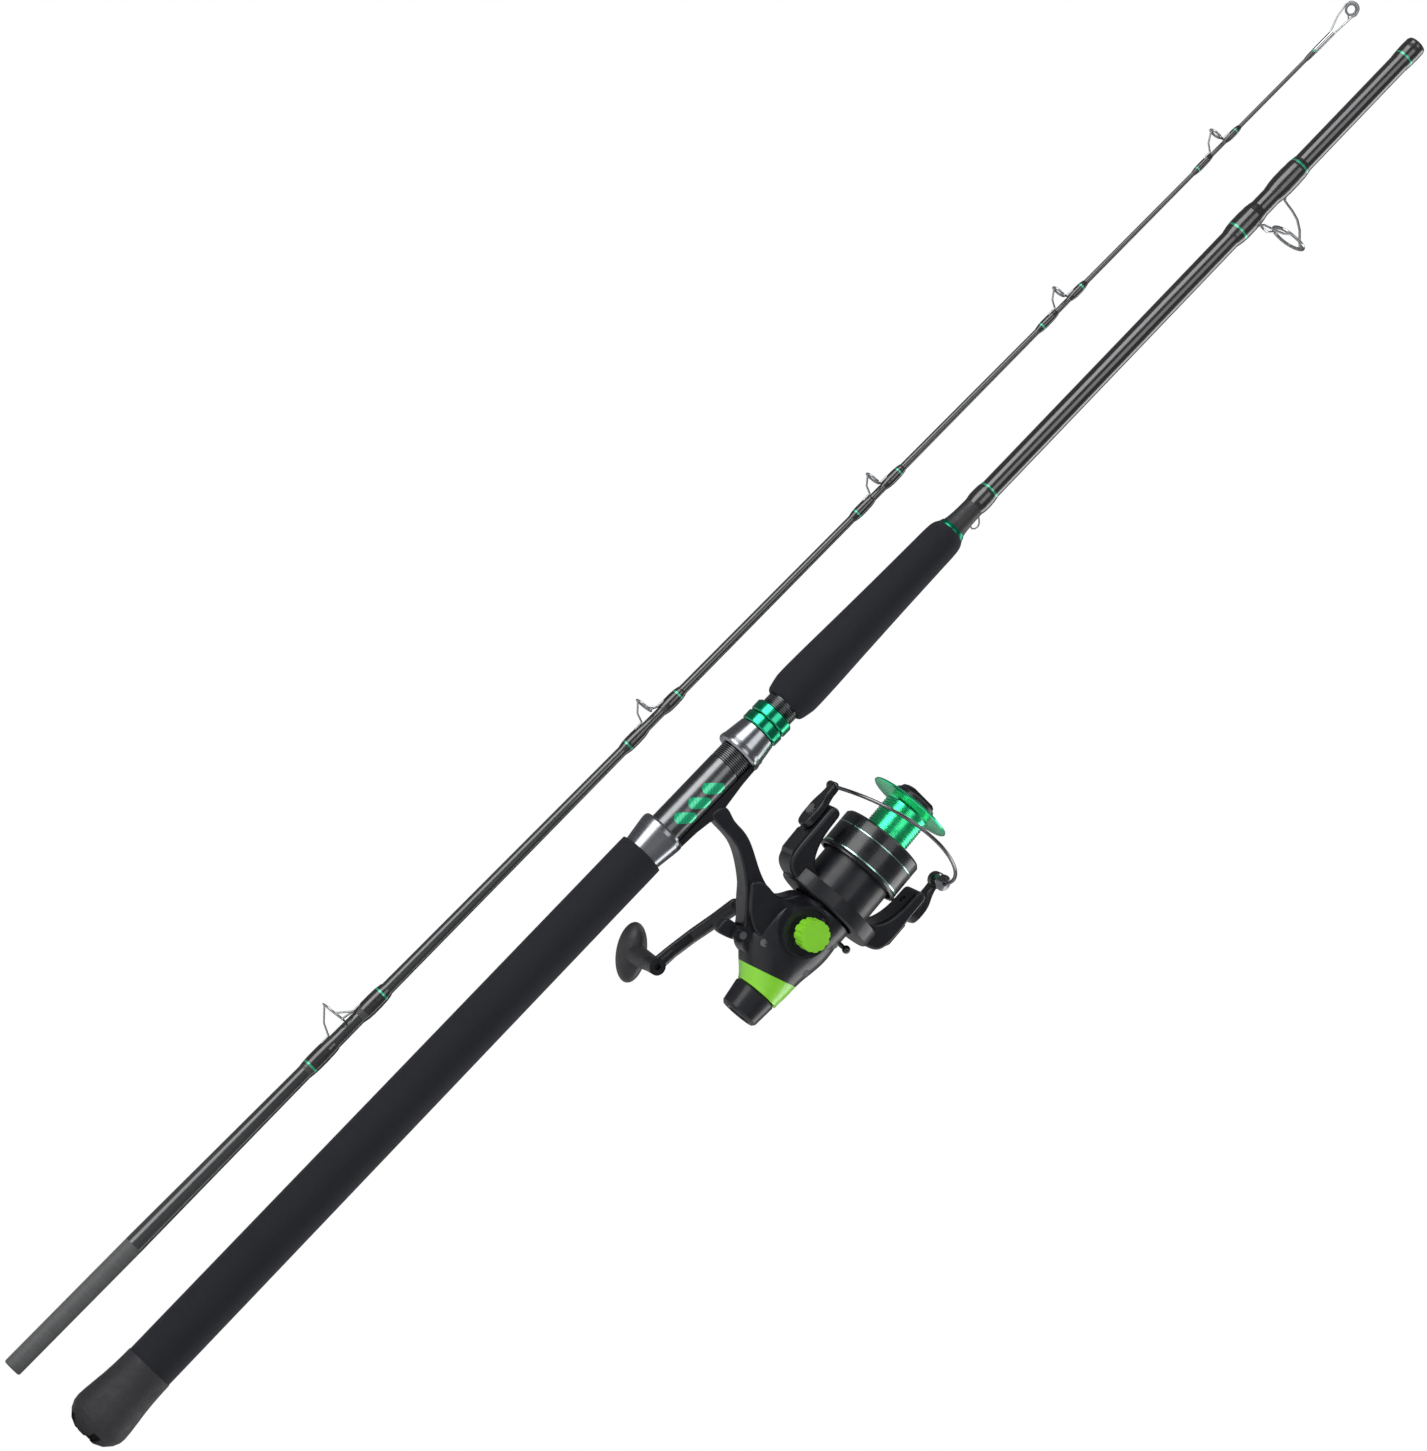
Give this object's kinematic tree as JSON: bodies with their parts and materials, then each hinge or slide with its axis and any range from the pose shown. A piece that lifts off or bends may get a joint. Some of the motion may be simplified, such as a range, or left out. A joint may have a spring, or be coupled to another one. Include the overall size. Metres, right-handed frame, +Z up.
{
  "type": "spinning rod and reel",
  "caption": "Two-piece fishing rod with foam grips and wire guides, tip section beside the butt, and a spinning reel held in the hooded seat",
  "frame": {"origin": "on the butt section's axis, midway along the rear grip, where the rod is held", "axes": "+Z up the butt section towards the ferrule, +X from the rod towards the reel, +Y the side of the winding handle"},
  "size_m": [0.2342, 0.1489, 1.1201],
  "materials": {
    "bail_arms": "satin black",
    "bail_screws": "bright steel",
    "bail_spring": "spring steel",
    "bail_wire": "polished stainless wire",
    "bearings": "ground steel",
    "butt_blank": "gloss black clear coat over graphite composite",
    "butt_cap": "pebbled dark rubber",
    "butt_trim_bands": "metallic green thread under epoxy",
    "butt_wraps": "black thread under epoxy",
    "clutch": "ground steel",
    "cover_screws": "black-oxide to bright steel",
    "crosshead": "moulded nylon",
    "drag_knob": "satin black",
    "drag_washers": "steel and carbon washers",
    "drive_gear": "machined zinc alloy",
    "foregrip": "matt closed-cell foam",
    "grip_cone": "satin rubber",
    "handle_arm": "satin charcoal black",
    "handle_cap": "lime green",
    "handle_knob": "soft black rubber",
    "hook_keeper": "polished wire",
    "lever_pin": "polished",
    "line_roller": "polished hard chrome",
    "lock_nuts": "anodised emerald green",
    "main_shaft": "ground stainless",
    "oscillation_gear": "acetal",
    "pinion_gear": "machined brass",
    "rear_band": "satin lime green",
    "rear_grip": "matt closed-cell foam",
    "rear_hood": "brushed gunmetal",
    "reel_body": "satin charcoal black",
    "reel_seat_tube": "brushed gunmetal",
    "rotor": "satin charcoal black",
    "seat_inlays": "green lens",
    "sliding_hood": "brushed gunmetal",
    "spool_core": "anodised emerald green",
    "spool_skirt": "gloss black anodised",
    "spool_trim_rings": "diamond-cut bright lines",
    "stripper_frame": "bright wire",
    "stripper_ring": "polished grey ceramic",
    "tip_blank": "dark grey gloss",
    "tip_spigot": "matt grey bare composite",
    "winding_check": "anodised green"
  },
  "bodies": {
    "rod": {"butt_blank": "butt_blank", "butt_cap": "butt_cap", "rear_grip": "rear_grip", "foregrip": "foregrip", "winding_check": "winding_check", "grip_cone": "grip_cone", "hook_keeper": "hook_keeper", "butt_wraps": "butt_wraps", "butt_trim_bands": "butt_trim_bands", "stripper_frame": "stripper_frame", "stripper_ring": "stripper_ring", "reel_seat_tube": "reel_seat_tube", "seat_inlays": "seat_inlays", "rear_hood": "rear_hood", "reel_body": "reel_body", "side_cover": "reel_body", "rear_band": "rear_band", "cover_screws": "cover_screws", "body_bearings": "bearings", "anti_reverse_clutch": "clutch", "rear_drag_washers": "drag_washers", "cam_pin": "bearings", "lever_pin": "lever_pin"},
    "slider": {"sliding_hood": "sliding_hood"},
    "nut_lower": {"lock_nut_lower": "lock_nuts"},
    "nut_upper": {"lock_nut_upper": "lock_nuts"},
    "crank": {"drive_gear": "drive_gear", "handle_cap": "handle_cap", "crank_hub": "handle_arm", "handle_arm": "handle_arm", "knob_post": "bail_screws"},
    "knob": {"handle_knob": "handle_knob"},
    "cam": {"oscillation_gear": "oscillation_gear"},
    "rotor": {"rotor": "rotor", "pinion_gear": "pinion_gear", "rotor_nut": "bearings", "arm_covers": "rotor", "bail_spring": "bail_spring"},
    "bail": {"bail_wire": "bail_wire", "bail_pivot_arm": "bail_arms", "roller_arm": "bail_arms", "bail_screws": "bail_screws"},
    "roller": {"line_roller": "line_roller"},
    "shaft": {"main_shaft": "main_shaft", "crosshead": "crosshead"},
    "spool": {"spool_core": "spool_core", "spool_skirt": "spool_skirt", "spool_trim_rings": "spool_trim_rings", "drag_washers": "drag_washers"},
    "front_knob": {"front_drag_knob": "drag_knob"},
    "rear_knob": {"rear_drag_knob": "drag_knob"},
    "feeder": {"baitfeeder_lever": "drag_knob"},
    "switch": {"anti_reverse_lever": "drag_knob"},
    "tip": {"tip_spigot": "tip_spigot", "tip_blank": "tip_blank", "tip_wraps": "butt_wraps", "tip_trim_bands": "butt_trim_bands", "tip_guide_frames": "stripper_frame", "tip_guide_rings": "stripper_ring", "tip_top_frame": "stripper_frame"}
  },
  "joints": [
    {"name": "hood_slide", "type": "slide", "parent": "rod", "child": "slider", "axis": [0, 0, 1], "range_m": [0, 0.0065]},
    {"name": "nut_lower_turn", "type": "hinge", "parent": "slider", "child": "nut_lower", "pos_m": [0, 0, 0.2982], "axis": [0, 0, 1], "range_deg": [-1, 1875]},
    {"name": "nut_upper_turn", "type": "hinge", "parent": "slider", "child": "nut_upper", "pos_m": [0, 0, 0.3057], "axis": [0, 0, 1], "range_deg": [-1, 1875]},
    {"name": "crank_turn", "type": "hinge", "parent": "rod", "child": "crank", "pos_m": [0.10127, 0, 0.23481], "axis": [0, 1, 0], "continuous": true},
    {"name": "knob_turn", "type": "hinge", "parent": "crank", "child": "knob", "pos_m": [0.0833, 0.0904, 0.168], "axis": [0, 1, 0], "continuous": true},
    {"name": "oscillation_turn", "type": "hinge", "parent": "rod", "child": "cam", "pos_m": [0.10851, -0.0081, 0.21724], "axis": [0, 1, 0], "continuous": true},
    {"name": "rotor_spin", "type": "hinge", "parent": "rod", "child": "rotor", "pos_m": [0.1096, 0, 0.25895], "axis": [-0.0698, 0, 0.9976], "continuous": true},
    {"name": "bail_flip", "type": "hinge", "parent": "rotor", "child": "bail", "pos_m": [0.1073, 0, 0.29187], "axis": [-0.9976, 0, -0.0698], "range_deg": [0, 105]},
    {"name": "roller_spin", "type": "hinge", "parent": "bail", "child": "roller", "pos_m": [0.15221, -0.002, 0.31777], "axis": [0, 1, 0], "continuous": true},
    {"name": "spool_stroke", "type": "slide", "parent": "rod", "child": "shaft", "axis": [0.0698, 0, -0.9976], "range_m": [0, 0.014]},
    {"name": "spool_spin", "type": "hinge", "parent": "shaft", "child": "spool", "pos_m": [0.10507, 0, 0.32379], "axis": [-0.0698, 0, 0.9976], "continuous": true},
    {"name": "front_drag_turn", "type": "hinge", "parent": "shaft", "child": "front_knob", "pos_m": [0.10402, 0, 0.33876], "axis": [-0.0698, 0, 0.9976], "range_deg": [-180, 360]},
    {"name": "rear_drag_turn", "type": "hinge", "parent": "rod", "child": "rear_knob", "pos_m": [0.11484, 0, 0.18413], "axis": [-0.0698, 0, 0.9976], "range_deg": [-180, 360]},
    {"name": "feeder_lever_turn", "type": "hinge", "parent": "rod", "child": "feeder", "pos_m": [0.0778, 0, 0.2076], "axis": [0, -1, 0], "range_deg": [0, 32]},
    {"name": "anti_reverse_turn", "type": "hinge", "parent": "rod", "child": "switch", "pos_m": [0.13187, -0.0056, 0.24738], "axis": [0.9976, 0, 0.0698], "range_deg": [0, 60]},
    {"name": "tip_lift", "type": "slide", "parent": "rod", "child": "tip", "axis": [0.0127, 0, 0.9999], "range_m": [0, 0.3]}
  ],
  "couplings": [
    {"joint": "nut_lower_turn", "follows": "hood_slide", "rad_per_m": 5026.5},
    {"joint": "nut_upper_turn", "follows": "hood_slide", "rad_per_m": 5026.5},
    {"joint": "rotor_spin", "follows": "crank_turn", "ratio": -5.2222},
    {"joint": "oscillation_turn", "follows": "crank_turn", "ratio": -0.80952}
  ]
}
